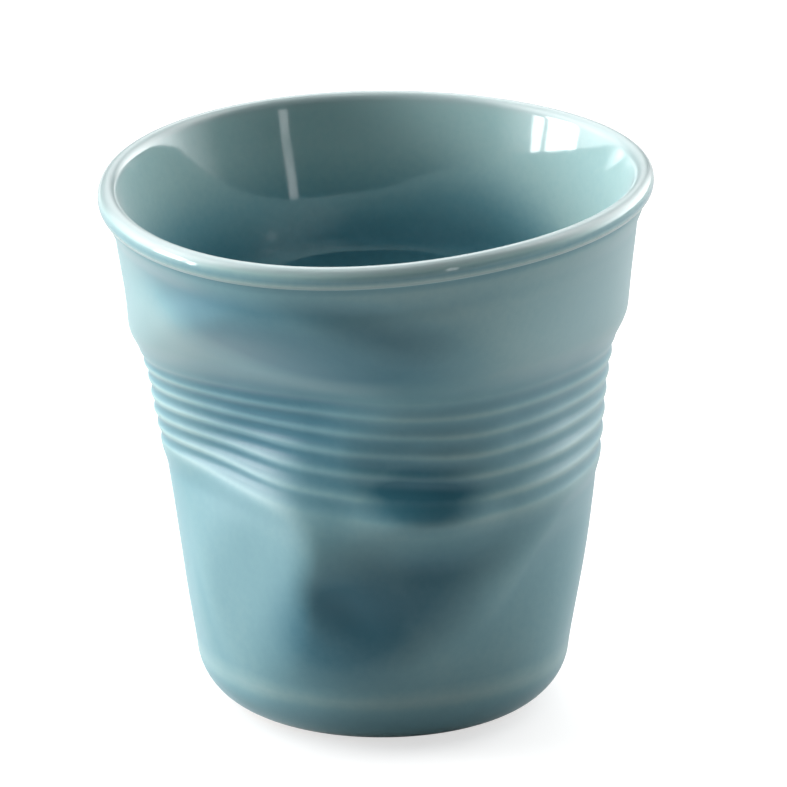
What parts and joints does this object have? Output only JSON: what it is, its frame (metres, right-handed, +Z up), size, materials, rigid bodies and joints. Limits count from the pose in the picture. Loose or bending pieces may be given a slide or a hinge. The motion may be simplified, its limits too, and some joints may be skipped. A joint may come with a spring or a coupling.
{
  "type": "crumpled porcelain tumbler",
  "caption": "Handleless glazed porcelain tumbler cast in the shape of a squeezed cup: dented sides, a band of fine ribs round the waist, a rolled tilted rim and a flat foot.",
  "frame": {"origin": "centre of the flat underside, on the surface the cup stands on", "axes": "+Z up out of the mouth, -Y the front with the deepest dents, +X the cup's right seen from the front"},
  "size_m": [0.0802, 0.0844, 0.0807],
  "materials": {
    "glazed_porcelain": "gloss blue-green glaze that thins to a paler tone over the ribs and rim; the underside is left bare"
  },
  "bodies": {
    "root": {"cup_body": "glazed_porcelain"}
  },
  "joints": []
}
